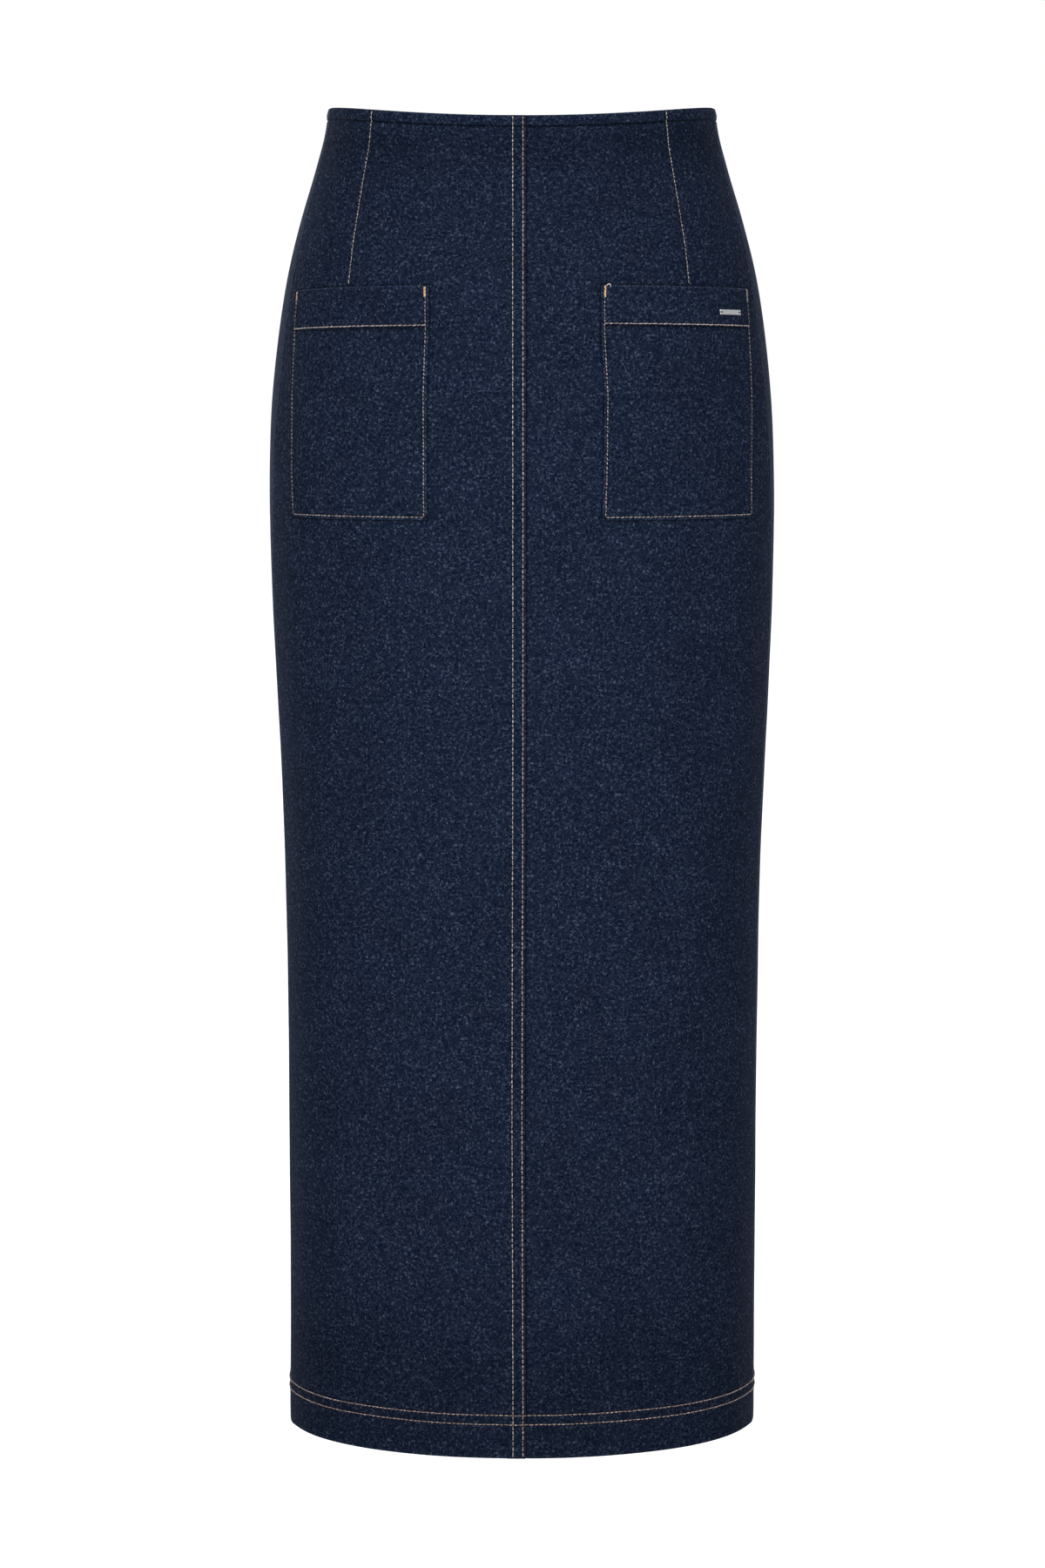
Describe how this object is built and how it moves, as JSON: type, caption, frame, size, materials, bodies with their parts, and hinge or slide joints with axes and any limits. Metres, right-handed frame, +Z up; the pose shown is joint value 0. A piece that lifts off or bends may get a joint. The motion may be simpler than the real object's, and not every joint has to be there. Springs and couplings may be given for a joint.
{
  "type": "maxi skirt",
  "caption": "Filled-out dark denim column maxi skirt with a turned waist edge, front darts, patch pockets, topstitched centre seam and concealed back zip.",
  "frame": {"origin": "middle of the waist opening, level with the waist edge at the sides, where the wearer's waist holds the skirt up", "axes": "+Z up along the wearer, -Y the way the wearer faces so the front of the skirt is on -Y, +X to the right of someone who looks at the front; left and right in the names are as that person sees them"},
  "size_m": [0.359, 0.2516, 0.94],
  "materials": {
    "denim": "dark indigo denim twill with fine light blue flecks, matt",
    "zip_tape": "navy woven polyester zip tape",
    "zip_metal": "satin nickel plate",
    "bar_metal": "polished nickel plate, plain"
  },
  "bodies": {
    "skirt": {"front_left": "denim", "front_right": "denim", "back_left": "denim", "back_right": "denim", "pocket_left": "denim", "pocket_right": "denim", "zip_tape_left": "zip_tape", "zip_tape_right": "zip_tape", "zip_slider": "zip_metal", "pocket_bar": "bar_metal"},
    "zip_pull": {"zip_pull": "zip_metal"}
  },
  "joints": [
    {"name": "pull_hinge", "type": "hinge", "parent": "skirt", "child": "zip_pull", "pos_m": [0, 0.1019, -0.01265], "axis": [1, 0, 0], "range_deg": [0, 165]}
  ]
}
